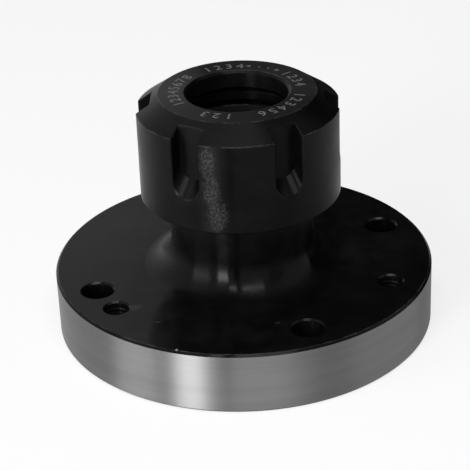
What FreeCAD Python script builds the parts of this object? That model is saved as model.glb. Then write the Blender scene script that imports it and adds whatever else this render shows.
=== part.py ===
"""Flange-mounted spring-collet chuck: a one-piece turned chuck body and its clamping nut.

Frame: +Z runs along the spindle axis towards the nut, and the origin is the centre of the
rear mounting face. The front of the chuck, where angles start, is -Y. Millimetres.
"""
import FreeCAD
import Part
import math
import os

# Flange: a thick disc with a ground rim, bolted to a spindle nose through one hole circle.
FLANGE_RADIUS = 33.5
FLANGE_THICKNESS = 11.1
FLANGE_EDGE_CHAMFER = 0.4
REGISTER_RADIUS = 22.5
REGISTER_DEPTH = 3.0

HOLE_CIRCLE_RADIUS = 27.5
HOLE_EDGE_CHAMFER = 0.3
CLEARANCE_HOLE_RADIUS = 2.75
CLEARANCE_HOLE_COUNT = 4
CLEARANCE_HOLE_START_DEG = 21.9
TAPPED_HOLE_RADIUS = 2.1
TAPPED_HOLE_COUNT = 3
TAPPED_HOLE_START_DEG = 67.1

# Neck: it rises out of the flange through a large fillet and stops just below the nut.
NECK_RADIUS = 12.65
NECK_FILLET_RADIUS = 5.0
NECK_EDGE_CHAMFER = 0.4
NUT_SEAT_HEIGHT = FLANGE_THICKNESS + 13.6
SHOULDER_GAP = 0.4

# Nose: the threaded end inside the nut, with the 8 degree socket that takes the collet.
NOSE_RADIUS = 12.4
NOSE_LENGTH_IN_NUT = 11.6
NOSE_EDGE_CHAMFER = 1.0
THREAD_RELIEF_RADIUS = 11.6
THREAD_RELIEF_LENGTH = 2.0
SOCKET_MOUTH_RADIUS = 10.5
SOCKET_HALF_ANGLE_DEG = 8.0
SOCKET_EDGE_CHAMFER = 0.3
THROUGH_BORE_RADIUS = 6.5

# Clamping nut: six wrench slots, a bearing cone for the collet and an eccentric pull-out lip.
NUT_RADIUS = 17.5
NUT_HEIGHT = 18.6
NUT_SKIRT_HEIGHT = 15.95
NUT_FACE_RADIUS = 13.57
NUT_LOWER_EDGE_CHAMFER = 0.3
OPENING_RADIUS = 8.75
OPENING_LAND = 3.0
OPENING_EDGE_CHAMFER = 0.45
BEARING_CONE_RADIUS = 10.9
BEARING_CONE_SLOPE_DEG = 30.0
LIP_RADIUS = 10.2
LIP_OFFSET = 0.5
LIP_THICKNESS = 1.5
LIP_EDGE_CHAMFER = 0.2
RUN_OUT_RADIUS = 12.95
RUN_OUT_LENGTH = 1.5
THREAD_CLEARANCE = 0.05
MOUTH_RADIUS = 12.95
MOUTH_DEPTH = 1.5

SLOT_COUNT = 6
SLOT_WIDTH = 5.0
SLOT_DEPTH = 2.6
SLOT_END_HEIGHT = 5.5
SLOT_END_SLOPE_DEG = 45.0
SLOT_START_DEG = 28.2
SLOT_EDGE_CHAMFER = 0.2

# Cutters run past the metal by this much, and sizes closer than the tolerance are equal.
OVERRUN = 2.0
TOLERANCE = 1e-4

Z_AXIS = FreeCAD.Vector(0, 0, 1)
ORIGIN = FreeCAD.Vector(0, 0, 0)


def slope(degrees):
    """Rise over run of a surface at this angle."""
    return math.tan(math.radians(degrees))


def profile_point(radius, height):
    """A point of a turned profile, drawn in the half-plane that faces the front (-Y)."""
    return FreeCAD.Vector(0, -radius, height)


def arc_between(start, end, centre):
    """The shorter arc about a centre, drawn from start to end through its middle."""
    middle_way = (start - centre) + (end - centre)
    middle_way.normalize()
    through = centre + middle_way * (start - centre).Length
    return Part.Arc(start, through, end).toShape()


def turned(stations):
    """Revolve a closed profile. A station is (radius, height) or (radius, height, arc centre),
    where the centre belongs to the arc that arrives at the station."""
    edges = []
    previous = stations[-1]
    for station in stations:
        start = profile_point(*previous[:2])
        end = profile_point(*station[:2])
        if len(station) == 3:
            edges.append(arc_between(start, end, profile_point(*station[2])))
        else:
            edges.append(Part.LineSegment(start, end).toShape())
        previous = station
    return Part.Face(Part.Wire(edges)).revolve(ORIGIN, Z_AXIS, 360)


def around_axis(shape, count, start_deg):
    """Copies of a shape that lies at the front (-Y), spaced evenly around the axis."""
    copies = []
    for index in range(count):
        copy = shape.copy()
        copy.rotate(ORIGIN, Z_AXIS, start_deg + index * 360.0 / count)
        copies.append(copy)
    return copies


def flange_hole(radius):
    """Cutter for one through hole on the hole circle, opened out at the front face."""
    wide = radius + HOLE_EDGE_CHAMFER
    cutter = turned([
        (0, -OVERRUN),
        (radius, -OVERRUN),
        (radius, FLANGE_THICKNESS - HOLE_EDGE_CHAMFER),
        (wide, FLANGE_THICKNESS),
        (wide, FLANGE_THICKNESS + OVERRUN),
        (0, FLANGE_THICKNESS + OVERRUN),
    ])
    cutter.translate(FreeCAD.Vector(0, -HOLE_CIRCLE_RADIUS, 0))
    return cutter


def chuck_body():
    """Flange, filleted neck and nose in one turned piece, with socket, bore and register."""
    neck_top = NUT_SEAT_HEIGHT - SHOULDER_GAP
    relief_top = neck_top + THREAD_RELIEF_LENGTH
    nose_top = NUT_SEAT_HEIGHT + NOSE_LENGTH_IN_NUT
    relief_step = NOSE_RADIUS - THREAD_RELIEF_RADIUS
    fillet_centre = (NECK_RADIUS + NECK_FILLET_RADIUS, FLANGE_THICKNESS + NECK_FILLET_RADIUS)
    socket_depth = (SOCKET_MOUTH_RADIUS - THROUGH_BORE_RADIUS) / slope(SOCKET_HALF_ANGLE_DEG)
    socket_edge_radius = SOCKET_MOUTH_RADIUS + SOCKET_EDGE_CHAMFER
    blank = turned([
        (THROUGH_BORE_RADIUS, REGISTER_DEPTH),
        (REGISTER_RADIUS, REGISTER_DEPTH),
        (REGISTER_RADIUS, 0),
        (FLANGE_RADIUS - FLANGE_EDGE_CHAMFER, 0),
        (FLANGE_RADIUS, FLANGE_EDGE_CHAMFER),
        (FLANGE_RADIUS, FLANGE_THICKNESS - FLANGE_EDGE_CHAMFER),
        (FLANGE_RADIUS - FLANGE_EDGE_CHAMFER, FLANGE_THICKNESS),
        (NECK_RADIUS + NECK_FILLET_RADIUS, FLANGE_THICKNESS),
        (NECK_RADIUS, FLANGE_THICKNESS + NECK_FILLET_RADIUS, fillet_centre),
        (NECK_RADIUS, neck_top - NECK_EDGE_CHAMFER),
        (NECK_RADIUS - NECK_EDGE_CHAMFER, neck_top),
        (THREAD_RELIEF_RADIUS, neck_top),
        (THREAD_RELIEF_RADIUS, relief_top - relief_step),
        (NOSE_RADIUS, relief_top),
        (NOSE_RADIUS, nose_top - NOSE_EDGE_CHAMFER),
        (NOSE_RADIUS - NOSE_EDGE_CHAMFER, nose_top),
        (socket_edge_radius, nose_top),
        (SOCKET_MOUTH_RADIUS, nose_top - SOCKET_EDGE_CHAMFER),
        (THROUGH_BORE_RADIUS, nose_top - SOCKET_EDGE_CHAMFER - socket_depth),
    ])
    holes = around_axis(flange_hole(CLEARANCE_HOLE_RADIUS), CLEARANCE_HOLE_COUNT,
                        CLEARANCE_HOLE_START_DEG)
    holes += around_axis(flange_hole(TAPPED_HOLE_RADIUS), TAPPED_HOLE_COUNT,
                         TAPPED_HOLE_START_DEG)
    return blank.cut(holes)


def cone_end_height():
    """Height of the bearing cone's wide end, where the pull-out lip starts."""
    land_end = NUT_SEAT_HEIGHT + NUT_HEIGHT - OPENING_LAND
    cone_length = (BEARING_CONE_RADIUS - OPENING_RADIUS) * slope(BEARING_CONE_SLOPE_DEG)
    return land_end - cone_length


def nut_blank():
    """The nut as turned: skirt, outer cone, face, opening, bearing cone and threaded bore."""
    bottom = NUT_SEAT_HEIGHT
    top = bottom + NUT_HEIGHT
    cone_end = cone_end_height()
    lip_bottom = cone_end - LIP_THICKNESS
    thread_radius = NOSE_RADIUS + THREAD_CLEARANCE
    return turned([
        (MOUTH_RADIUS, bottom),
        (NUT_RADIUS - NUT_LOWER_EDGE_CHAMFER, bottom),
        (NUT_RADIUS, bottom + NUT_LOWER_EDGE_CHAMFER),
        (NUT_RADIUS, bottom + NUT_SKIRT_HEIGHT),
        (NUT_FACE_RADIUS, top),
        (OPENING_RADIUS + OPENING_EDGE_CHAMFER, top),
        (OPENING_RADIUS, top - OPENING_EDGE_CHAMFER),
        (OPENING_RADIUS, top - OPENING_LAND),
        (BEARING_CONE_RADIUS, cone_end),
        (LIP_RADIUS - LIP_OFFSET - LIP_EDGE_CHAMFER, cone_end),
        (LIP_RADIUS - LIP_OFFSET - LIP_EDGE_CHAMFER, lip_bottom),
        (RUN_OUT_RADIUS, lip_bottom),
        (RUN_OUT_RADIUS, lip_bottom - RUN_OUT_LENGTH),
        (thread_radius, lip_bottom - RUN_OUT_LENGTH),
        (thread_radius, bottom + MOUTH_DEPTH),
        (MOUTH_RADIUS, bottom + MOUTH_DEPTH),
    ])


def wrench_slot():
    """Cutter for one slot at the front: a U drawn on a plane outside the skirt and pushed in
    at a slant, so that the sides and floor stay straight and the round lower end ramps up."""
    half_width = SLOT_WIDTH / 2
    floor_y = -(NUT_RADIUS - SLOT_DEPTH)
    start_y = -(NUT_RADIUS + OVERRUN)
    end_slope = slope(SLOT_END_SLOPE_DEG)
    arc_height = NUT_SEAT_HEIGHT + SLOT_END_HEIGHT + half_width - OVERRUN * end_slope
    open_height = NUT_SEAT_HEIGHT + NUT_HEIGHT + OVERRUN
    lower_left = FreeCAD.Vector(-half_width, start_y, arc_height)
    lowest = FreeCAD.Vector(0, start_y, arc_height - half_width)
    lower_right = FreeCAD.Vector(half_width, start_y, arc_height)
    upper_right = FreeCAD.Vector(half_width, start_y, open_height)
    upper_left = FreeCAD.Vector(-half_width, start_y, open_height)
    outline = Part.Wire([
        Part.Arc(lower_left, lowest, lower_right).toShape(),
        Part.LineSegment(lower_right, upper_right).toShape(),
        Part.LineSegment(upper_right, upper_left).toShape(),
        Part.LineSegment(upper_left, lower_left).toShape(),
    ])
    travel = floor_y - start_y
    return Part.Face(outline).extrude(FreeCAD.Vector(0, travel, travel * end_slope))


def lip_bore():
    """Cutter for the eccentric hole that leaves the pull-out lip, eased at its upper edge."""
    top = cone_end_height()
    cutter = turned([
        (0, top - LIP_THICKNESS - RUN_OUT_LENGTH),
        (LIP_RADIUS, top - LIP_THICKNESS - RUN_OUT_LENGTH),
        (LIP_RADIUS, top - LIP_EDGE_CHAMFER),
        (LIP_RADIUS + LIP_EDGE_CHAMFER, top),
        (0, top),
    ])
    cutter.translate(FreeCAD.Vector(0, -LIP_OFFSET, 0))
    return cutter


def is_turned_outside(face):
    """Whether a face of the nut is its skirt or its outer cone."""
    surface = face.Surface
    if surface.TypeId == "Part::GeomCylinder":
        return abs(surface.Radius - NUT_RADIUS) < TOLERANCE
    on_axis = surface.TypeId == "Part::GeomCone" and abs(surface.Axis.z) > 1 - TOLERANCE
    return on_axis and face.CenterOfMass.z > NUT_SEAT_HEIGHT + NUT_SKIRT_HEIGHT


def slot_rim_edges(nut):
    """The edges where the slots break out through the skirt and the outer cone."""
    floor_radius = NUT_RADIUS - SLOT_DEPTH
    rim = []
    for edge in nut.Edges:
        middle = edge.valueAt((edge.FirstParameter + edge.LastParameter) / 2)
        far_out = math.hypot(middle.x, middle.y) > floor_radius - TOLERANCE
        above_seat = middle.z > NUT_SEAT_HEIGHT + SLOT_END_HEIGHT - SLOT_EDGE_CHAMFER
        outsides = [is_turned_outside(face) for face in nut.ancestorsOfType(edge, Part.Face)]
        if far_out and above_seat and sorted(outsides) == [False, True]:
            rim.append(edge)
    return rim


def clamping_nut():
    """The finished nut, with the rims of its slots broken all round."""
    slots = around_axis(wrench_slot(), SLOT_COUNT, SLOT_START_DEG)
    nut = nut_blank().cut([lip_bore()] + slots)
    return nut.makeChamfer(SLOT_EDGE_CHAMFER, slot_rim_edges(nut))


def main():
    os.makedirs("parts", exist_ok=True)
    for name, make in (("chuck_body", chuck_body), ("clamping_nut", clamping_nut)):
        make().exportStep("parts/" + name + ".step")


main()
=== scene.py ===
"""Dressing of a flange-mounted collet chuck: finishes, threads, digits and the studio.

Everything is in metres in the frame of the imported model. +Z is the spindle axis, the rear
face lies at Z = 0, and a bearing is an angle about +Z counted from the front (-Y) to +X.
"""
from __future__ import annotations

import logging
import math
from dataclasses import dataclass, field
from enum import Enum

import bpy
from mathutils import Matrix, Vector

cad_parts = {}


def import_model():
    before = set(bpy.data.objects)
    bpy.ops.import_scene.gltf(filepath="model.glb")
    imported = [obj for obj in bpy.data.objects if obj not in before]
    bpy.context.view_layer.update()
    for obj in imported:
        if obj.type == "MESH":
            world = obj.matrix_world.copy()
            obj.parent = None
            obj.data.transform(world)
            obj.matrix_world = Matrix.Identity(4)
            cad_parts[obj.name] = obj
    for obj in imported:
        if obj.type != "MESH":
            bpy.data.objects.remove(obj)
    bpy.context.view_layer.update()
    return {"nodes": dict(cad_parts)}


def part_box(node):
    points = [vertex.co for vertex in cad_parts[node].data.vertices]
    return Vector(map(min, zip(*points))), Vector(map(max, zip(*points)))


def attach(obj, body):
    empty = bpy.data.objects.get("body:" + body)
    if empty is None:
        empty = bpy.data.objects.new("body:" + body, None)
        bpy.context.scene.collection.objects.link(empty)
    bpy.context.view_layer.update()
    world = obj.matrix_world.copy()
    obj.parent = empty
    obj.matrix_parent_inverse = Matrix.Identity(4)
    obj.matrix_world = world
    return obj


LOG = logging.getLogger("collet_chuck")
MM = 0.001
MERGE_DISTANCE = 1e-7
NOISE_MEAN = 0.5


class Turn(Enum):
    """Which way an arrow on the nut points, seen from above."""

    CLOCKWISE = -1
    ANTICLOCKWISE = 1


def at_bearing(bearing_deg: float, radius: float, height: float) -> Vector:
    """Find the point at a bearing.

    Args:
        bearing_deg: Angle about +Z from the front towards +X.
        radius: Distance from the spindle axis.
        height: Height above the rear face.

    Returns:
        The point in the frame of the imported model.
    """
    angle = math.radians(bearing_deg)
    return Vector((radius * math.sin(angle), -radius * math.cos(angle), height))


def deselect_all() -> None:
    """Leave nothing selected, so that an operator acts only on what comes next."""
    if bpy.context.object is not None and bpy.context.object.mode != "OBJECT":
        bpy.ops.object.mode_set(mode="OBJECT")
    bpy.ops.object.select_all(action="DESELECT")


def only(piece: bpy.types.Object) -> bpy.types.Object:
    """Select one object and make it the active one.

    Args:
        piece: The object that the next operators act on.

    Returns:
        The same object.
    """
    deselect_all()
    piece.select_set(True)
    bpy.context.view_layer.objects.active = piece
    return piece


def finish_piece(piece: bpy.types.Object, name: str, smooth_deg: float) -> bpy.types.Object:
    """Merge doubles, turn the faces outwards, smooth the gentle edges and freeze the place.

    Args:
        piece: A mesh object that has its final shape.
        name: The name that the piece keeps.
        smooth_deg: Edges that turn by less than this are shaded smooth.

    Returns:
        The finished object, at the origin and unturned.
    """
    only(piece)
    bpy.ops.object.transform_apply(location=True, rotation=True, scale=True)
    bpy.ops.object.mode_set(mode="EDIT")
    bpy.ops.mesh.select_all(action="SELECT")
    bpy.ops.mesh.remove_doubles(threshold=MERGE_DISTANCE)
    bpy.ops.mesh.normals_make_consistent(inside=False)
    bpy.ops.object.mode_set(mode="OBJECT")
    bpy.ops.object.shade_smooth_by_angle(angle=math.radians(smooth_deg))
    piece.name = name
    piece.data.name = name
    return piece


def apply_modifier(piece: bpy.types.Object, kind: str, **settings: object) -> None:
    """Add one modifier and apply it at once.

    Args:
        piece: The mesh object to change.
        kind: The modifier type, such as SCREW.
        **settings: Its settings by name.
    """
    only(piece)
    bpy.ops.object.modifier_add(type=kind)
    modifier = piece.modifiers[-1]
    for key, value in settings.items():
        setattr(modifier, key, value)
    bpy.ops.object.modifier_apply(modifier=modifier.name)


def join_pieces(parts: list[bpy.types.Object]) -> bpy.types.Object:
    """Join several mesh objects into one.

    Args:
        parts: The objects, the first of which stays.

    Returns:
        The joined object.
    """
    only(parts[0])
    for part in parts[1:]:
        part.select_set(True)
    bpy.ops.object.join()
    return bpy.context.object


class NodeDesk:
    """Short calls that lay nodes into one node tree and wire them up."""

    COLUMNS: int = 8
    COLUMN_STEP: int = 220
    ROW_STEP: int = 240
    MIX_FACTOR: int = 0
    MIX_FIRST: int = 6
    MIX_SECOND: int = 7
    MIX_RESULT: int = 2

    def __init__(self, tree: bpy.types.NodeTree) -> None:
        """Start on an empty tree.

        Args:
            tree: The tree of a material, a world or a node group.
        """
        self.tree = tree
        self.tree.nodes.clear()

    def place(self, kind: str, **settings: object) -> bpy.types.Node:
        """Add a node and set its options.

        Args:
            kind: The node's type name.
            **settings: Its options by name.

        Returns:
            The new node.
        """
        node = self.tree.nodes.new(kind)
        row, column = divmod(len(self.tree.nodes), self.COLUMNS)
        node.location = (self.COLUMN_STEP * column, -self.ROW_STEP * row)
        for key, value in settings.items():
            setattr(node, key, value)
        return node

    def feed(self, socket: bpy.types.NodeSocket, value: object) -> None:
        """Wire an output into a socket, or set the socket's own value.

        Args:
            socket: The input socket.
            value: An output socket, or a constant.
        """
        if isinstance(value, bpy.types.NodeSocket):
            self.tree.links.new(value, socket)
        else:
            socket.default_value = value

    def math(self, operation: str, *values: object, clamp: bool = False) -> bpy.types.NodeSocket:
        """Add a Math node.

        Args:
            operation: The operation's name.
            *values: Its inputs in order.
            clamp: Whether the result is held between 0 and 1.

        Returns:
            The result's socket.
        """
        node = self.place("ShaderNodeMath", operation=operation, use_clamp=clamp)
        for socket, value in zip(node.inputs, values):
            self.feed(socket, value)
        return node.outputs[0]

    def span(self, value: object, low: object, high: object, start: float = 0.0,
             end: float = 1.0) -> bpy.types.NodeSocket:
        """Map a value smoothly from one range to another.

        Args:
            value: What is mapped.
            low: The value that gives start.
            high: The value that gives end.
            start: The result at low and before it.
            end: The result at high and after it.

        Returns:
            The result's socket.
        """
        node = self.place("ShaderNodeMapRange", interpolation_type="SMOOTHSTEP")
        for name, item in (("Value", value), ("From Min", low), ("From Max", high),
                           ("To Min", start), ("To Max", end)):
            self.feed(node.inputs[name], item)
        return node.outputs["Result"]

    def blend(self, factor: object, first: object, second: object) -> bpy.types.NodeSocket:
        """Mix two colours.

        Args:
            factor: 0 for the first colour and 1 for the second.
            first: A colour or a colour socket.
            second: A colour or a colour socket.

        Returns:
            The mixed colour's socket.
        """
        node = self.place("ShaderNodeMix", data_type="RGBA")
        self.feed(node.inputs[self.MIX_FACTOR], factor)
        self.feed(node.inputs[self.MIX_FIRST], first)
        self.feed(node.inputs[self.MIX_SECOND], second)
        return node.outputs[self.MIX_RESULT]

    def combine(self, x: object, y: object, z: object) -> bpy.types.NodeSocket:
        """Make a vector from three numbers.

        Args:
            x: The first number or socket.
            y: The second number or socket.
            z: The third number or socket.

        Returns:
            The vector's socket.
        """
        node = self.place("ShaderNodeCombineXYZ")
        for socket, value in zip(node.inputs, (x, y, z)):
            self.feed(socket, value)
        return node.outputs[0]

    def length(self, vector: object) -> bpy.types.NodeSocket:
        """Measure a vector.

        Args:
            vector: The vector's socket.

        Returns:
            The length's socket.
        """
        node = self.place("ShaderNodeVectorMath", operation="LENGTH")
        self.feed(node.inputs[0], vector)
        return node.outputs["Value"]

    def noise(self, vector: object, scale: float, detail: float = 3.0, roughness: float = 0.5,
              turn: object = None) -> bpy.types.NodeSocket:
        """Add a noise pattern.

        Args:
            vector: Where the pattern is read.
            scale: How many features there are in one unit.
            detail: How many finer layers it has.
            roughness: How strong the finer layers are.
            turn: A fourth coordinate, if the pattern has one.

        Returns:
            The pattern's value socket.
        """
        node = self.place("ShaderNodeTexNoise", noise_dimensions="3D" if turn is None else "4D")
        self.feed(node.inputs["Vector"], vector)
        node.inputs["Scale"].default_value = scale
        node.inputs["Detail"].default_value = detail
        node.inputs["Roughness"].default_value = roughness
        if turn is not None:
            self.feed(node.inputs["W"], turn)
        return node.outputs["Fac"]

    def group(self, tree: bpy.types.NodeTree, **values: object) -> bpy.types.Node:
        """Place a node group with its own values.

        Args:
            tree: The node group.
            **values: Its inputs, with _ for a space.

        Returns:
            The group node.
        """
        node = self.place("ShaderNodeGroup", node_tree=tree)
        for name, value in values.items():
            self.feed(node.inputs[name.replace("_", " ")], value)
        return node


def open_material(name: str) -> tuple[bpy.types.Material, NodeDesk]:
    """Start a material on an empty node tree.

    Args:
        name: The material's name.

    Returns:
        The material and its desk.
    """
    material = bpy.data.materials.new(name)
    material.use_nodes = True
    return material, NodeDesk(material.node_tree)


def grey(tone: float) -> tuple[float, float, float, float]:
    """Give a neutral colour of this linear tone."""
    return (tone, tone, tone, 1.0)


class Effects:
    """The shader node groups that the finishes share, each built once."""

    LEAST_RADIUS: float = 1e-6
    TONE_SHARE: float = 0.22
    GRAIN_SCALE: float = 5200.0
    CLOUD_SCALE: float = 170.0
    WEAR_SCALE: float = 420.0
    WEAR_SPAN: tuple[float, float] = (0.38, 0.68)
    PATCH_SCALE: float = 1500.0
    PATCH_CORE: float = 0.35
    SPECK_SCALE: float = 330.0
    SPECK_SPAN: tuple[float, float] = (0.025, 0.06)

    def __init__(self) -> None:
        """Build every group."""
        self.polar = self.build_polar()
        self.band = self.build_band()
        self.turning = self.build_turning()
        self.grain = self.build_grain()
        self.edge = self.build_edge()
        self.patch = self.build_patch()
        self.specks = self.build_specks()

    @staticmethod
    def new_group(name: str, inputs: dict[str, str], outputs: dict[str, str]
                  ) -> tuple[NodeDesk, bpy.types.Node, bpy.types.Node]:
        """Start a node group.

        Args:
            name: The group's name.
            inputs: Its inputs, from name to socket kind (Float or Vector).
            outputs: Its outputs, from name to socket kind.

        Returns:
            The desk, the node that gives the inputs and the node that takes the outputs.
        """
        tree = bpy.data.node_groups.new(name, "ShaderNodeTree")
        for side, sockets in (("INPUT", inputs), ("OUTPUT", outputs)):
            for socket_name, kind in sockets.items():
                tree.interface.new_socket(socket_name, in_out=side,
                                          socket_type="NodeSocket" + kind)
        desk = NodeDesk(tree)
        return desk, desk.place("NodeGroupInput"), desk.place("NodeGroupOutput")

    def build_polar(self) -> bpy.types.NodeTree:
        """Build the group that turns a place into radius, height and direction.

        Returns:
            The node group.
        """
        desk, given, wanted = self.new_group(
            "polar_place", {"Place": "Vector"},
            {"Radius": "Float", "Height": "Float", "Side": "Float", "Front": "Float"})
        parts = desk.place("ShaderNodeSeparateXYZ")
        desk.feed(parts.inputs[0], given.outputs["Place"])
        flat = desk.combine(parts.outputs[0], parts.outputs[1], 0.0)
        radius = desk.math("MAXIMUM", desk.length(flat), self.LEAST_RADIUS)
        desk.feed(wanted.inputs["Radius"], radius)
        desk.feed(wanted.inputs["Height"], parts.outputs[2])
        desk.feed(wanted.inputs["Side"], desk.math("DIVIDE", parts.outputs[0], radius))
        desk.feed(wanted.inputs["Front"], desk.math(
            "DIVIDE", desk.math("MULTIPLY", parts.outputs[1], -1.0), radius))
        return desk.tree

    def build_band(self) -> bpy.types.NodeTree:
        """Build the mask of a turned band between two radii and two heights.

        Returns:
            The node group.
        """
        desk, given, wanted = self.new_group(
            "turned_band",
            {"Radius": "Float", "Height": "Float", "Inner": "Float", "Outer": "Float",
             "Low": "Float", "High": "Float", "Softness": "Float"},
            {"Mask": "Float"})
        soft = given.outputs["Softness"]
        mask: object = 1.0
        for value, low, high in (("Radius", "Inner", "Outer"), ("Height", "Low", "High")):
            rise = desk.math("DIVIDE", desk.math(
                "SUBTRACT", given.outputs[value], given.outputs[low]), soft, clamp=True)
            fall = desk.math("DIVIDE", desk.math(
                "SUBTRACT", given.outputs[high], given.outputs[value]), soft, clamp=True)
            mask = desk.math("MULTIPLY", mask, desk.math("MULTIPLY", rise, fall))
        desk.feed(wanted.inputs["Mask"], mask)
        return desk.tree

    def build_turning(self) -> bpy.types.NodeTree:
        """Build fine lathe marks that run round the axis on walls, faces and fillets alike.

        Returns:
            The node group.
        """
        desk, given, wanted = self.new_group(
            "turning_marks",
            {"Place": "Vector", "Fineness": "Float", "Drift": "Float"},
            {"Height": "Float", "Tone": "Float"})
        polar = desk.group(self.polar, Place=given.outputs["Place"])
        fine = given.outputs["Fineness"]
        drift = given.outputs["Drift"]
        along = desk.combine(
            desk.math("MULTIPLY", polar.outputs["Radius"], fine),
            desk.math("MULTIPLY", polar.outputs["Height"], fine),
            desk.math("MULTIPLY", polar.outputs["Side"], drift))
        turn = desk.math("MULTIPLY", polar.outputs["Front"], drift)
        desk.feed(wanted.inputs["Height"], desk.noise(along, 1.0, 2.0, 0.6, turn=turn))
        desk.feed(wanted.inputs["Tone"], desk.noise(along, self.TONE_SHARE, 3.0, 0.6,
                                                         turn=turn))
        return desk.tree

    def build_grain(self) -> bpy.types.NodeTree:
        """Build the fine grain and the cloudy tone of a chemical surface.

        Returns:
            The node group.
        """
        desk, given, wanted = self.new_group(
            "surface_grain", {"Place": "Vector"}, {"Height": "Float", "Cloud": "Float"})
        place = given.outputs["Place"]
        desk.feed(wanted.inputs["Height"], desk.noise(place, self.GRAIN_SCALE, 2.0, 0.6))
        desk.feed(wanted.inputs["Cloud"], desk.noise(place, self.CLOUD_SCALE, 4.0, 0.6))
        return desk.tree

    def build_edge(self) -> bpy.types.NodeTree:
        """Build the wear along one turned edge, broken up by noise.

        Returns:
            The node group.
        """
        desk, given, wanted = self.new_group(
            "edge_wear",
            {"Place": "Vector", "Edge Radius": "Float", "Edge Height": "Float",
             "Reach": "Float"},
            {"Mask": "Float"})
        polar = desk.group(self.polar, Place=given.outputs["Place"])
        away = desk.combine(
            desk.math("SUBTRACT", polar.outputs["Radius"], given.outputs["Edge Radius"]),
            desk.math("SUBTRACT", polar.outputs["Height"], given.outputs["Edge Height"]), 0.0)
        near = desk.span(desk.length(away), 0.0, given.outputs["Reach"], 1.0, 0.0)
        broken = desk.span(desk.noise(given.outputs["Place"], self.WEAR_SCALE, 4.0, 0.65),
                           *self.WEAR_SPAN)
        desk.feed(wanted.inputs["Mask"], desk.math("MULTIPLY", near, broken))
        return desk.tree

    def build_patch(self) -> bpy.types.NodeTree:
        """Build a ragged patch about a centre, such as a smudge or a nick.

        Returns:
            The node group.
        """
        desk, given, wanted = self.new_group(
            "ragged_patch",
            {"Place": "Vector", "Centre": "Vector", "Stretch": "Vector", "Reach": "Float",
             "Raggedness": "Float"},
            {"Mask": "Float"})
        away = desk.place("ShaderNodeVectorMath", operation="SUBTRACT")
        desk.feed(away.inputs[0], given.outputs["Place"])
        desk.feed(away.inputs[1], given.outputs["Centre"])
        scaled = desk.place("ShaderNodeVectorMath", operation="DIVIDE")
        desk.feed(scaled.inputs[0], away.outputs[0])
        desk.feed(scaled.inputs[1], given.outputs["Stretch"])
        ragged = desk.math("MULTIPLY", desk.math(
            "SUBTRACT", desk.noise(given.outputs["Place"], self.PATCH_SCALE, 3.0, 0.6),
            NOISE_MEAN),
            desk.math("MULTIPLY", given.outputs["Raggedness"], given.outputs["Reach"]))
        reach = desk.math("ADD", given.outputs["Reach"], ragged)
        desk.feed(wanted.inputs["Mask"], desk.span(
            desk.length(scaled.outputs[0]), desk.math("MULTIPLY", reach, self.PATCH_CORE), reach,
            1.0, 0.0))
        return desk.tree

    def build_specks(self) -> bpy.types.NodeTree:
        """Build scattered specks of dust.

        Returns:
            The node group.
        """
        desk, given, wanted = self.new_group(
            "dust_specks", {"Place": "Vector", "Share": "Float"}, {"Mask": "Float"})
        cells = desk.place("ShaderNodeTexVoronoi", feature="F1")
        desk.feed(cells.inputs["Vector"], given.outputs["Place"])
        cells.inputs["Scale"].default_value = self.SPECK_SCALE
        size = desk.span(cells.outputs["Distance"], *self.SPECK_SPAN, 1.0, 0.0)
        tint = desk.place("ShaderNodeSeparateColor")
        desk.feed(tint.inputs[0], cells.outputs["Color"])
        chosen = desk.math("LESS_THAN", tint.outputs[0], given.outputs["Share"])
        desk.feed(wanted.inputs["Mask"], desk.math("MULTIPLY", size, chosen))
        return desk.tree


@dataclass(frozen=True)
class BlackOxide:
    """Chemically blackened steel with fine lathe marks, and its worn places."""

    tone: float = 0.0014
    cloud_tone: float = 0.0028
    worn_tone: float = 0.030
    dust_tone: float = 0.16
    dust_share: float = 0.012
    # painted highlight: the pale tone of the coarse patches stands in for a gloss streak
    highlight_patch_tone: float = 0.050
    face_tone: float = 0.011
    roughness: float = 0.21
    cloud_roughness: float = 0.08
    worn_roughness: float = 0.14
    index: float = 1.165
    marks_per_metre: float = 4200.0
    marks_drift: float = 0.5
    marks_strength: float = 0.10
    grain_strength: float = 0.10
    relief: float = 8e-6
    stretch: float = 1.0
    smudge_share: float = 0.6
    cloud_span: tuple[float, float] = (0.3, 0.7)
    # the coarse noise both roughens the bump and breaks up the painted highlight
    coarse_highlight_scale: float = 2300.0
    coarse_highlight_span: tuple[float, float] = (0.34, 0.86)
    band_softness: float = 0.03 * MM


@dataclass(frozen=True)
class GroundSteel:
    """Bare steel, ground round the axis."""

    tone: float = 0.170
    streak_tone: float = 0.19
    roughness: float = 0.44
    streak_roughness: float = 0.05
    marks_per_metre: float = 2600.0
    marks_drift: float = 3.0
    streak_span: tuple[float, float] = (0.35, 0.65)


@dataclass(frozen=True)
class EtchedGrey:
    """The pale matt skin that an etching beam leaves on blackened steel."""

    tone: float = 0.060
    pale_tone: float = 0.115
    roughness: float = 0.62
    roughness_spread: float = 0.1
    broken_scale: float = 2400.0
    broken_span: tuple[float, float] = (0.35, 0.65)
    index: float = 1.3


@dataclass(frozen=True)
class RubbedThread:
    """The black skin of a tapped hole's thread, a little rubbed."""

    tone: float = 0.0014
    rubbed_tone: float = 0.0030
    rubbed_span: tuple[float, float] = (0.35, 0.65)
    roughness: tuple[float, float] = (0.22, 0.4)
    index: float = 1.12
    relief: float = 8e-6
    relief_strength: float = 0.5


@dataclass(frozen=True)
class Edge:
    """One turned edge that wears."""

    radius: float
    height: float
    reach: float


@dataclass(frozen=True)
class Patch:
    """One smudge, nick, or coarse patch whose paler tone is a painted highlight."""

    bearing_deg: float
    radius: float
    height: float
    reach: float
    stretch: tuple[float, float, float] = (1.0, 1.0, 1.0)
    raggedness: float = 1.0


@dataclass(frozen=True)
class Band:
    """One turned zone between two radii and two heights."""

    inner: float
    outer: float
    low: float
    high: float


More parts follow.
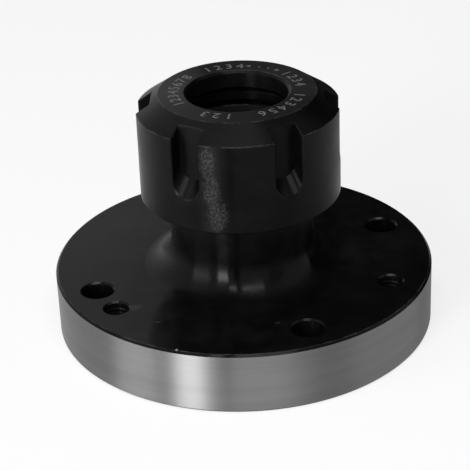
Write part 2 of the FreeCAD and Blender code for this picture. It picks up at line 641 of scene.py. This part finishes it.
@dataclass
class FinishShop:
    """Makes the materials from the finishes and the shared effects."""

    effects: Effects
    oxide: BlackOxide = BlackOxide()
    coarse_oxide: BlackOxide = BlackOxide(roughness=0.34, index=1.16, stretch=0.9)
    ground: GroundSteel = GroundSteel()
    etched: EtchedGrey = EtchedGrey()
    thread: RubbedThread = RubbedThread()
    grain_turn: float = 0.25

    def new_material(self, name: str) -> tuple[bpy.types.Material, NodeDesk, bpy.types.Node]:
        """Start a material with its shader and output.

        Args:
            name: The material's name.

        Returns:
            The material, its desk and its shader node.
        """
        material, desk = open_material(name)
        shader = desk.place("ShaderNodeBsdfPrincipled")
        out = desk.place("ShaderNodeOutputMaterial")
        desk.feed(out.inputs["Surface"], shader.outputs["BSDF"])
        return material, desk, shader

    def lay_round_the_axis(self, desk: NodeDesk, shader: bpy.types.Node, stretch: float) -> None:
        """Stretch the gloss across the lathe marks.

        Args:
            desk: The material's desk.
            shader: The material's shader.
            stretch: How far the gloss is stretched, from 0 to 1.
        """
        tangent = desk.place("ShaderNodeTangent", direction_type="RADIAL", axis="Z")
        desk.feed(shader.inputs["Tangent"], tangent.outputs[0])
        shader.inputs["Anisotropic"].default_value = stretch
        shader.inputs["Anisotropic Rotation"].default_value = self.grain_turn

    def raise_relief(self, desk: NodeDesk, shader: bpy.types.Node, height: object,
                     relief: float, strength: float = 1.0) -> None:
        """Let a height pattern bend the shader's normal.

        Args:
            desk: The material's desk.
            shader: The material's shader.
            height: The pattern's socket.
            relief: How deep the pattern is at full strength.
            strength: How strongly it is felt, from 0 to 1.
        """
        bump = desk.place("ShaderNodeBump")
        bump.inputs["Strength"].default_value = strength
        bump.inputs["Distance"].default_value = relief
        desk.feed(bump.inputs["Height"], height)
        desk.feed(shader.inputs["Normal"], bump.outputs["Normal"])

    def sum_masks(self, desk: NodeDesk, masks: list[bpy.types.NodeSocket]) -> object:
        """Overlay several masks.

        Args:
            desk: The material's desk.
            masks: The masks' sockets.

        Returns:
            The largest mask at each place, or 0 where there are none.
        """
        total: object = 0.0
        for mask in masks:
            total = desk.math("MAXIMUM", total, mask)
        return total

    def blackened(self, name: str, oxide: BlackOxide, edges: list[Edge], bright: list[Band],
                  matt: list[Band], smudges: list[Patch], nicks: list[Patch], coarse_highlight_patches: list[Patch]
                  ) -> bpy.types.Material:
        """Make the finish of a blackened part, some of whose bands are ground bright.

        Args:
            name: The material's name.
            oxide: The black skin.
            edges: The turned edges that wear.
            bright: The bands that are ground to bare steel.
            matt: The bands that handling has dulled.
            smudges: Patches that are a little paler and rougher.
            nicks: Patches where bare steel shows.
            coarse_highlight_patches: Patches where the black skin is coarse and tinted paler, a
                painted highlight.

        Returns:
            The material.
        """
        ground = self.ground
        material, desk, shader = self.new_material(name)
        place = desk.place("ShaderNodeTexCoord").outputs["Object"]
        polar = desk.group(self.effects.polar, Place=place)
        worn = self.sum_masks(desk, [
            desk.group(self.effects.edge, Place=place, Edge_Radius=edge.radius,
                       Edge_Height=edge.height, Reach=edge.reach).outputs["Mask"]
            for edge in edges])
        # the last of these masks marks the coarse patches that carry a painted highlight
        smudged, nicked, coarse_highlight_mask = (
            self.sum_masks(desk, [
                desk.group(self.effects.patch, Place=place, Reach=patch.reach,
                           Centre=at_bearing(patch.bearing_deg, patch.radius, patch.height),
                           Stretch=patch.stretch, Raggedness=patch.raggedness).outputs["Mask"]
                for patch in patches])
            for patches in (smudges, nicks, coarse_highlight_patches))
        bare, dull = (
            self.sum_masks(desk, [
                desk.group(self.effects.band, Radius=polar.outputs["Radius"],
                           Height=polar.outputs["Height"], Inner=band.inner, Outer=band.outer,
                           Low=band.low, High=band.high,
                           Softness=oxide.band_softness).outputs["Mask"]
                for band in bands])
            for bands in (bright, matt))
        bare = desk.math("MAXIMUM", bare, nicked)
        marks = desk.group(self.effects.turning, Place=place, Fineness=oxide.marks_per_metre,
                           Drift=oxide.marks_drift)
        streaks = desk.group(self.effects.turning, Place=place, Fineness=ground.marks_per_metre,
                             Drift=ground.marks_drift)
        grain = desk.group(self.effects.grain, Place=place)
        dust = desk.group(self.effects.specks, Place=place, Share=oxide.dust_share)

        # coarse patches: the noise raises the bump and mixes in a paler tone, a painted highlight
        coarse = desk.noise(place, oxide.coarse_highlight_scale, 4.0, 0.7)
        painted_highlight = desk.math("MULTIPLY", desk.span(coarse, *oxide.coarse_highlight_span), coarse_highlight_mask)
        cloud = desk.span(grain.outputs["Cloud"], *oxide.cloud_span)
        black = desk.blend(cloud, grey(oxide.tone), grey(oxide.cloud_tone))
        black = desk.blend(dull, black, grey(oxide.face_tone))
        pale = desk.math("MAXIMUM", worn, desk.math("MULTIPLY", smudged, oxide.smudge_share))
        black = desk.blend(pale, black, grey(oxide.worn_tone))
        # painted highlight mixed into the black skin on the coarse patches
        black = desk.blend(painted_highlight, black, grey(oxide.highlight_patch_tone))
        black = desk.blend(dust.outputs["Mask"], black, grey(oxide.dust_tone))
        steel = desk.blend(desk.span(streaks.outputs["Tone"], *ground.streak_span),
                           grey(ground.tone), grey(ground.streak_tone))
        desk.feed(shader.inputs["Base Color"], desk.blend(bare, black, steel))
        desk.feed(shader.inputs["Metallic"], bare)

        rough = desk.math("ADD", oxide.roughness, desk.math(
            "MULTIPLY", desk.math("SUBTRACT", cloud, NOISE_MEAN), oxide.cloud_roughness))
        rough = desk.math("ADD", rough, desk.math("MULTIPLY", pale, oxide.worn_roughness))
        steel_rough = desk.math("ADD", ground.roughness, desk.math(
            "MULTIPLY", desk.math("SUBTRACT", streaks.outputs["Height"], NOISE_MEAN),
            ground.streak_roughness))
        change = desk.math("SUBTRACT", steel_rough, rough)
        desk.feed(shader.inputs["Roughness"],
                  desk.math("ADD", rough, desk.math("MULTIPLY", change, bare)))

        height = desk.math("MULTIPLY", marks.outputs["Height"], oxide.marks_strength)
        height = desk.math("ADD", height, desk.math(
            "MULTIPLY", grain.outputs["Height"], oxide.grain_strength))
        height = desk.math("ADD", height, desk.math("MULTIPLY", coarse, coarse_highlight_mask))
        self.raise_relief(desk, shader, height, oxide.relief)
        shader.inputs["IOR"].default_value = oxide.index
        self.lay_round_the_axis(desk, shader, oxide.stretch)
        return material

    def tapped(self, name: str) -> bpy.types.Material:
        """Make the finish of a blackened thread, whose crests are rubbed.

        Args:
            name: The material's name.

        Returns:
            The material.
        """
        thread = self.thread
        material, desk, shader = self.new_material(name)
        place = desk.place("ShaderNodeTexCoord").outputs["Object"]
        grain = desk.group(self.effects.grain, Place=place)
        rubbed = desk.span(grain.outputs["Cloud"], *thread.rubbed_span)
        desk.feed(shader.inputs["Base Color"],
                  desk.blend(rubbed, grey(thread.tone), grey(thread.rubbed_tone)))
        desk.feed(shader.inputs["Roughness"],
                  desk.span(grain.outputs["Height"], 0.0, 1.0, *thread.roughness))
        shader.inputs["IOR"].default_value = thread.index
        self.raise_relief(desk, shader, grain.outputs["Height"], thread.relief,
                          thread.relief_strength)
        return material

    def etching(self, name: str) -> bpy.types.Material:
        """Make the finish of the etched digits.

        Args:
            name: The material's name.

        Returns:
            The material.
        """
        etched = self.etched
        material, desk, shader = self.new_material(name)
        place = desk.place("ShaderNodeTexCoord").outputs["Object"]
        grain = desk.group(self.effects.grain, Place=place)
        broken = desk.noise(place, etched.broken_scale, 3.0, 0.6)
        desk.feed(shader.inputs["Base Color"], desk.blend(
            desk.span(broken, *etched.broken_span), grey(etched.tone), grey(etched.pale_tone)))
        desk.feed(shader.inputs["Roughness"], desk.span(
            grain.outputs["Height"], 0.0, 1.0, etched.roughness - etched.roughness_spread,
            etched.roughness + etched.roughness_spread))
        shader.inputs["IOR"].default_value = etched.index
        return material


@dataclass
class ChuckBody:
    """The flange, neck and nose: one turned piece."""

    rim_radius: float = 33.5 * MM
    rim_chamfer: float = 0.4 * MM
    front_face: float = 11.1 * MM
    register_radius: float = 22.5 * MM
    nose_top: float = 36.3 * MM
    socket_mouth: float = 10.5 * MM
    socket_slope_deg: float = 8.0
    bore_radius: float = 6.5 * MM
    sink: float = 0.05 * MM
    beyond_rim: float = 1.1

    def socket_bottom(self) -> float:
        """Give the height at which the tapered socket meets the bore."""
        slope = math.tan(math.radians(self.socket_slope_deg))
        depth = (self.socket_mouth - self.bore_radius) / slope
        return self.nose_top - depth

    def dress(self, node: bpy.types.Object, shop: FinishShop) -> None:
        """Give the body its blackened skin with the ground rim and rear face.

        Args:
            node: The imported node.
            shop: Where the materials come from.
        """
        rim = Band(self.rim_radius - self.sink, self.rim_radius * self.beyond_rim,
                   self.rim_chamfer, self.front_face - self.rim_chamfer)
        rear = Band(self.register_radius + self.sink, self.rim_radius * self.beyond_rim,
                    -MM, self.sink)
        socket = Band(0.0, self.socket_mouth + self.sink, self.socket_bottom(),
                      self.nose_top - self.sink)
        edges = [Edge(self.rim_radius - self.rim_chamfer, self.front_face, 0.16 * MM)]
        smudges = [
            Patch(-48.5, 25.2 * MM, self.front_face, 1.3 * MM, (1.3, 1.0, 1.0), 2.2),
            Patch(-34.0, 26.3 * MM, self.front_face, 0.5 * MM, (1.6, 0.6, 1.0), 2.6),
            Patch(12.7, 24.2 * MM, self.front_face, 0.4 * MM, (1.6, 0.6, 1.0), 2.6),
            Patch(-71.0, 24.3 * MM, self.front_face, 0.3 * MM),
        ]
        nicks = [Patch(-20.3, 32.95 * MM, self.front_face, 0.3 * MM)]
        node.material_slots[0].material = shop.blackened(
            "blackened_body", shop.oxide, edges, [rim, rear], [socket], smudges, nicks, [])
        LOG.info("dressed %s: blackened skin, ground rim and rear face", node.name)


@dataclass
class ClampingNut:
    """The slotted nut with its bearing cone and eccentric lip."""

    radius: float = 17.5 * MM
    opening_radius: float = 8.75 * MM
    opening_chamfer: float = 0.45 * MM
    face_radius: float = 13.57 * MM
    skirt_drop: float = 2.65 * MM
    sink: float = 0.05 * MM

    def dress(self, node: bpy.types.Object, shop: FinishShop) -> None:
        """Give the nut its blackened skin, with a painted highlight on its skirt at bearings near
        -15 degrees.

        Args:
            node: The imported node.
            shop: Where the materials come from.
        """
        low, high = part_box(node.name)
        edges = [
            Edge(self.radius, high.z - self.skirt_drop, 0.22 * MM),
            Edge(self.face_radius, high.z, 0.22 * MM),
            Edge(self.opening_radius + self.opening_chamfer, high.z, 0.2 * MM),
            Edge(self.radius, low.z, 0.25 * MM),
        ]
        # coarse patches down the skirt, paler in tone as a painted highlight of the gloss streak
        # there
        coarse_highlight_patches = [
            Patch(-13.0, self.radius, low.z + 3.4 * MM, 3.6 * MM, (0.62, 1.0, 1.0), 1.2),
            Patch(-16.0, self.radius, low.z + 8.0 * MM, 3.4 * MM, (0.55, 1.0, 1.3), 1.2),
            Patch(-18.0, self.radius, low.z + 13.0 * MM, 3.0 * MM, (0.6, 1.0, 1.2), 1.2),
        ]
        face = Band(self.opening_radius, self.face_radius, high.z - self.sink, high.z + MM)
        node.material_slots[0].material = shop.blackened(
            "blackened_nut", shop.coarse_oxide, edges, [], [face], [], [], coarse_highlight_patches)
        LOG.info("dressed %s: blackened skin with rubbed edges", node.name)


@dataclass
class TappedThreads:
    """The fine thread in each of the three tapped holes of the flange."""

    hole_circle: float = 27.5 * MM
    hole_radius: float = 2.1 * MM
    crest_radius: float = 1.93 * MM
    root_sink: float = 0.03 * MM
    pitch: float = 0.8 * MM
    flank_width: float = 0.66 * MM
    bearings_deg: tuple[float, ...] = (67.1, 187.1, 307.1)
    flange_thickness: float = 11.1 * MM
    lead: float = 0.35 * MM
    steps_a_turn: int = 28
    smooth_deg: float = 40.0

    def ridge(self) -> bpy.types.Object:
        """Model one helical ridge on the axis of a hole at the origin.

        Returns:
            The ridge, capped at both ends.
        """
        deselect_all()
        bpy.ops.mesh.primitive_circle_add(vertices=3, radius=1.0, fill_type="NOTHING",
                                          location=(0.0, 0.0, 0.0))
        ridge = bpy.context.object
        root = self.hole_radius + self.root_sink
        corners = ((self.crest_radius, 0.0), (root, self.flank_width / 2),
                   (root, -self.flank_width / 2))
        for vertex, (radius, height) in zip(ridge.data.vertices, corners):
            vertex.co = (radius, 0.0, height + self.lead + self.flank_width / 2)
        turns = math.floor((self.flange_thickness - 2 * self.lead - self.flank_width) / self.pitch)
        apply_modifier(ridge, "SCREW", angle=2 * math.pi, screw_offset=self.pitch,
                       iterations=turns, steps=self.steps_a_turn,
                       render_steps=self.steps_a_turn, axis="Z")
        bpy.ops.object.mode_set(mode="EDIT")
        bpy.ops.mesh.select_all(action="SELECT")
        bpy.ops.mesh.fill_holes(sides=3)
        bpy.ops.object.mode_set(mode="OBJECT")
        return ridge

    def build(self, shop: FinishShop) -> list[bpy.types.Object]:
        """Model the ridge once and copy it into each hole.

        Args:
            shop: Where the material comes from.

        Returns:
            The threads, one piece a hole.
        """
        first = self.ridge()
        material = shop.tapped("tapped_thread")
        threads = []
        for number, bearing in enumerate(self.bearings_deg, start=1):
            only(first)
            bpy.ops.object.duplicate(linked=False)
            thread = bpy.context.object
            thread.location = at_bearing(bearing, self.hole_circle, 0.0)
            finish_piece(thread, f"tapped_thread_{number}", self.smooth_deg)
            thread.data.materials.append(material)
            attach(thread, "body")
            threads.append(thread)
            LOG.info("built %s", thread.name)
        bpy.data.objects.remove(first)
        return threads


@dataclass(frozen=True)
class DigitRun:
    """A run of plain digits along the nut's face, read clockwise."""

    digits: str
    start_deg: float
    step_deg: float


@dataclass(frozen=True)
class TurnArrow:
    """A curved arrow on the nut's face."""

    tail_deg: float
    tip_deg: float
    turn: Turn


@dataclass
class NutMarking:
    """Etched plain digits and two turning arrows on the nut's face."""

    circle_radius: float = 10.98 * MM
    digit_height: float = 1.9 * MM
    digit_weight: float = 0.035 * MM
    cap_share: float = 0.70
    skin: float = 0.008 * MM
    stroke: float = 0.32 * MM
    head_length: float = 1.0 * MM
    head_width: float = 0.95 * MM
    curve_steps: int = 4
    arrow_steps: int = 10
    smooth_deg: float = 30.0
    runs: tuple[DigitRun, ...] = (
        DigitRun("12345678", -63.9, -9.13),
        DigitRun("1234", -152.7, -10.3),
        DigitRun("1234", 128.0, -9.7),
        DigitRun("123456", 74.2, -10.5),
        DigitRun("123", -8.0, -11.2),
    )
    arrows: tuple[TurnArrow, ...] = (
        TurnArrow(157.5, 172.0, Turn.ANTICLOCKWISE),
        TurnArrow(150.5, 136.5, Turn.CLOCKWISE),
    )

    def digit(self, sign: str, bearing_deg: float, height: float) -> bpy.types.Object:
        """Make one digit with its top outwards.

        Args:
            sign: The digit.
            bearing_deg: Where its middle is.
            height: The height of the nut's face.

        Returns:
            The digit as a mesh.
        """
        deselect_all()
        bpy.ops.object.text_add(location=(0.0, 0.0, 0.0))
        digit = bpy.context.object
        digit.data.body = sign
        digit.data.size = self.digit_height / self.cap_share
        digit.data.align_x = "CENTER"
        digit.data.extrude = self.skin
        digit.data.offset = self.digit_weight
        digit.data.resolution_u = self.curve_steps
        bpy.ops.object.convert(target="MESH")
        digit = bpy.context.object
        digit.data.transform(Matrix.Translation((0.0, -self.digit_height / 2, 0.0)))
        digit.location = at_bearing(bearing_deg, self.circle_radius, height)
        digit.rotation_euler = (0.0, 0.0, math.radians(bearing_deg + 180.0))
        bpy.ops.object.transform_apply(location=True, rotation=True, scale=True)
        return digit

    def arrow(self, arrow: TurnArrow, height: float) -> bpy.types.Object:
        """Make one curved arrow.

        Args:
            arrow: Where it starts and ends.
            height: The height of the nut's face.

        Returns:
            The arrow as a mesh.
        """
        head_deg = math.degrees(self.head_length / self.circle_radius) * arrow.turn.value
        neck_deg = arrow.tip_deg - head_deg
        deselect_all()
        bpy.ops.mesh.primitive_plane_add(size=self.stroke, location=(0.0, 0.0, 0.0))
        shaft = bpy.context.object
        bpy.ops.object.mode_set(mode="EDIT")
        bpy.ops.mesh.delete(type="ONLY_FACE")
        bpy.ops.mesh.select_all(action="DESELECT")
        bpy.ops.object.mode_set(mode="OBJECT")
        for vertex in shaft.data.vertices:
            vertex.select = vertex.co.x > 0
        bpy.ops.object.mode_set(mode="EDIT")
        bpy.ops.mesh.delete(type="VERT")
        bpy.ops.object.mode_set(mode="OBJECT")
        shaft.data.transform(Matrix.Translation((self.stroke / 2, 0.0, 0.0)))
        shaft.location = at_bearing(arrow.tail_deg, self.circle_radius, height)
        shaft.rotation_euler = (0.0, 0.0, math.radians(arrow.tail_deg))
        bpy.ops.object.transform_apply(location=True, rotation=True, scale=True)
        bpy.ops.object.mode_set(mode="EDIT")
        bpy.ops.mesh.select_all(action="SELECT")
        bpy.ops.mesh.spin(steps=self.arrow_steps, angle=math.radians(neck_deg - arrow.tail_deg),
                          center=(0.0, 0.0, height), axis=(0.0, 0.0, 1.0))
        bpy.ops.object.mode_set(mode="OBJECT")
        bpy.ops.mesh.primitive_circle_add(vertices=3, radius=1.0, fill_type="NGON",
                                          location=(0.0, 0.0, 0.0))
        head = bpy.context.object
        inner = self.circle_radius - self.head_width / 2
        outer = self.circle_radius + self.head_width / 2
        corners = (at_bearing(arrow.tip_deg, self.circle_radius, height),
                   at_bearing(neck_deg, inner, height), at_bearing(neck_deg, outer, height))
        for vertex, corner in zip(head.data.vertices, corners):
            vertex.co = corner
        for part in (shaft, head):
            apply_modifier(part, "SOLIDIFY", thickness=2 * self.skin, offset=0.0)
        return join_pieces([shaft, head])

    def build(self, shop: FinishShop, height: float) -> bpy.types.Object:
        """Make all the digits and arrows as one piece.

        Args:
            shop: Where the material comes from.
            height: The height of the nut's face.

        Returns:
            The marking.
        """
        parts = [self.arrow(arrow, height) for arrow in self.arrows]
        for run in self.runs:
            for place, sign in enumerate(run.digits):
                parts.append(self.digit(sign, run.start_deg + place * run.step_deg, height))
        marking = finish_piece(join_pieces(parts), "etched_digits", self.smooth_deg)
        marking.data.materials.clear()
        marking.data.materials.append(shop.etching("etched_grey"))
        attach(marking, "nut")
        LOG.info("built %s: %d parts", marking.name, len(parts))
        return marking


@dataclass(frozen=True)
class Lamp:
    """A soft area lamp that looks at the chuck."""

    name: str
    bearing_deg: float
    elevation_deg: float
    distance: float
    width: float
    height: float
    power: float


@dataclass(frozen=True)
class Flag:
    """A card of one tone, seen only in the gloss, that stands beside the chuck."""

    name: str
    bearing_deg: float
    distance: float
    width: float
    bottom: float
    top: float
    tone: float


@dataclass
class Studio:
    """Plain pale floor, soft surroundings, lamps and flags."""

    floor_size: float = 6.0
    floor_tone: float = 0.84
    floor_glow: float = 0.72
    footprint: float = 33.0 * MM
    world_tone: float = 0.25
    look_height: float = 20.0 * MM
    lamps: tuple[Lamp, ...] = (
        Lamp("strip_left", -32.0, 13.0, 0.80, 0.22, 0.52, 6.6),
        Lamp("overhead_front", 4.0, 60.0, 0.90, 0.56, 0.13, 4.6),
        Lamp("wide_left", -66.0, 18.0, 1.20, 0.55, 0.70, 5.5),
    )
    flags: tuple[Flag, ...] = (
        Flag("flag_back_right", 146.0, 0.12, 0.20, 0.001, 0.40, 0.03),
        Flag("flag_right", 48.0, 0.30, 0.12, 0.001, 0.45, 0.40),
        Flag("flag_front", -9.6, 0.062, 0.0072, 0.0005, 0.16, 0.0),
    )

    def seen_or_mirrored(self, desk: NodeDesk) -> bpy.types.NodeSocket:
        """Tell the rays of the camera and of gloss and glass from the rays that light things.

        Args:
            desk: The desk of the floor's material or of the world.

        Returns:
            1 for a ray that shows the background, else 0.
        """
        path = desk.place("ShaderNodeLightPath")
        shown = desk.math("ADD", path.outputs["Is Camera Ray"], path.outputs["Is Glossy Ray"],
                          clamp=True)
        return desk.math("ADD", shown, path.outputs["Is Transmission Ray"], clamp=True)

    def build_floor(self) -> bpy.types.Object:
        """Lay the pale floor, which keeps the chuck's shadow.

        Returns:
            The floor.
        """
        deselect_all()
        bpy.ops.mesh.primitive_plane_add(size=self.floor_size, location=(0.0, 0.0, 0.0))
        floor = bpy.context.object
        floor.name = "floor"
        material, desk = open_material("pale_floor")
        matt = desk.place("ShaderNodeBsdfDiffuse")
        matt.inputs["Color"].default_value = grey(self.floor_tone)
        glow = desk.place("ShaderNodeEmission")
        glow.inputs["Color"].default_value = grey(1.0)
        mix = desk.place("ShaderNodeMixShader")
        away = desk.length(desk.place("ShaderNodeTexCoord").outputs["Object"])
        open_floor = desk.span(away, self.footprint - MM, self.footprint, 0.0, self.floor_glow)
        desk.feed(mix.inputs[0], desk.math("MULTIPLY", self.seen_or_mirrored(desk), open_floor))
        desk.feed(mix.inputs[1], matt.outputs[0])
        desk.feed(mix.inputs[2], glow.outputs[0])
        out = desk.place("ShaderNodeOutputMaterial")
        desk.feed(out.inputs["Surface"], mix.outputs[0])
        floor.data.materials.append(material)
        return floor

    def build_world(self) -> None:
        """Surround the scene with an even soft light that is seen as white."""
        world = bpy.data.worlds.new("studio")
        world.use_nodes = True
        bpy.context.scene.world = world
        desk = NodeDesk(world.node_tree)
        back = desk.place("ShaderNodeBackground")
        back.inputs["Color"].default_value = grey(1.0)
        desk.feed(back.inputs["Strength"],
                  desk.span(self.seen_or_mirrored(desk), 0.0, 1.0, self.world_tone, 1.0))
        out = desk.place("ShaderNodeOutputWorld")
        desk.feed(out.inputs["Surface"], back.outputs[0])

    def place_lamp(self, lamp: Lamp) -> bpy.types.Object:
        """Set up one lamp.

        Args:
            lamp: Its place, size and power.

        Returns:
            The lamp.
        """
        rise = math.radians(lamp.elevation_deg)
        target = Vector((0.0, 0.0, self.look_height))
        offset = at_bearing(lamp.bearing_deg, lamp.distance * math.cos(rise),
                            lamp.distance * math.sin(rise))
        facing = (-offset).to_track_quat("-Z", "Y").to_euler()
        deselect_all()
        bpy.ops.object.light_add(type="AREA", location=target + offset, rotation=facing)
        light = bpy.context.object
        light.name = lamp.name
        light.data.shape = "RECTANGLE"
        light.data.size = lamp.width
        light.data.size_y = lamp.height
        light.data.energy = lamp.power
        return light

    def place_flag(self, flag: Flag) -> bpy.types.Object:
        """Stand one card beside the chuck.

        Args:
            flag: Its place, size and tone.

        Returns:
            The card.
        """
        deselect_all()
        bpy.ops.mesh.primitive_plane_add(size=1.0, location=(0.0, 0.0, 0.0))
        card = bpy.context.object
        card.name = flag.name
        card.scale = (flag.width, flag.top - flag.bottom, 1.0)
        card.location = at_bearing(flag.bearing_deg, flag.distance, (flag.top + flag.bottom) / 2)
        card.rotation_euler = (math.pi / 2, 0.0, math.radians(flag.bearing_deg))
        bpy.ops.object.transform_apply(location=True, rotation=True, scale=True)
        material, desk = open_material(flag.name)
        glow = desk.place("ShaderNodeEmission")
        glow.inputs["Color"].default_value = grey(flag.tone)
        out = desk.place("ShaderNodeOutputMaterial")
        desk.feed(out.inputs["Surface"], glow.outputs[0])
        card.data.materials.append(material)
        card.visible_camera = False
        card.visible_diffuse = False
        card.visible_shadow = False
        return card

    def build(self) -> None:
        """Set up the floor, the surroundings, the lamps and the flags."""
        bpy.context.scene.view_settings.view_transform = "Standard"
        self.build_floor()
        self.build_world()
        for lamp in self.lamps:
            self.place_lamp(lamp)
        for flag in self.flags:
            self.place_flag(flag)
        LOG.info("built the studio: floor, %d lamps, %d flags", len(self.lamps), len(self.flags))


@dataclass
class Viewpoint:
    """The camera, which looks down at the chuck from the front."""

    distance: float = 301.53 * MM
    elevation_deg: float = 28.521
    roll_deg: float = 2.176
    swing_deg: float = -0.259
    tilt_deg: float = -0.742
    aim_height: float = 11.1 * MM
    lens: float = 128.97
    sensor: float = 36.0
    nearest: float = 0.01
    farthest: float = 20.0

    def build(self) -> bpy.types.Object:
        """Set up the camera and make it the scene's own.

        Returns:
            The camera.
        """
        rise = math.radians(self.elevation_deg)
        place = at_bearing(0.0, self.distance * math.cos(rise), self.distance * math.sin(rise))
        level = Matrix.Rotation(math.pi / 2 - rise, 3, "X")
        swing = Matrix.Rotation(math.radians(self.swing_deg), 3, "Y")
        tilt = Matrix.Rotation(math.radians(self.tilt_deg), 3, "X")
        roll = Matrix.Rotation(math.radians(self.roll_deg), 3, "Z")
        turned = level @ (roll @ tilt @ swing).transposed()
        deselect_all()
        bpy.ops.object.camera_add(location=place + Vector((0.0, 0.0, self.aim_height)),
                                  rotation=turned.to_euler())
        camera = bpy.context.object
        camera.name = "camera"
        camera.data.sensor_width = self.sensor
        camera.data.lens = self.lens
        camera.data.clip_start = self.nearest
        camera.data.clip_end = self.farthest
        bpy.context.scene.camera = camera
        LOG.info("built the camera")
        return camera


@dataclass
class Chuck:
    """The whole dressed chuck."""

    body: ChuckBody = field(default_factory=ChuckBody)
    nut: ClampingNut = field(default_factory=ClampingNut)
    threads: TappedThreads = field(default_factory=TappedThreads)
    marking: NutMarking = field(default_factory=NutMarking)

    def build(self, nodes: dict[str, bpy.types.Object], shop: FinishShop) -> None:
        """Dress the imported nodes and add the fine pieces.

        Args:
            nodes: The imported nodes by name.
            shop: Where the materials come from.
        """
        self.body.dress(nodes["chuck_body"], shop)
        self.nut.dress(nodes["clamping_nut"], shop)
        self.threads.build(shop)
        self.marking.build(shop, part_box("clamping_nut")[1].z)


def main() -> None:
    """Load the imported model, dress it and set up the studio."""
    logging.basicConfig(level=logging.INFO, format="%(name)s: %(message)s")
    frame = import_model()
    Chuck().build(frame["nodes"], FinishShop(Effects()))
    Studio().build()
    Viewpoint().build()


if __name__ == "__main__":
    main()
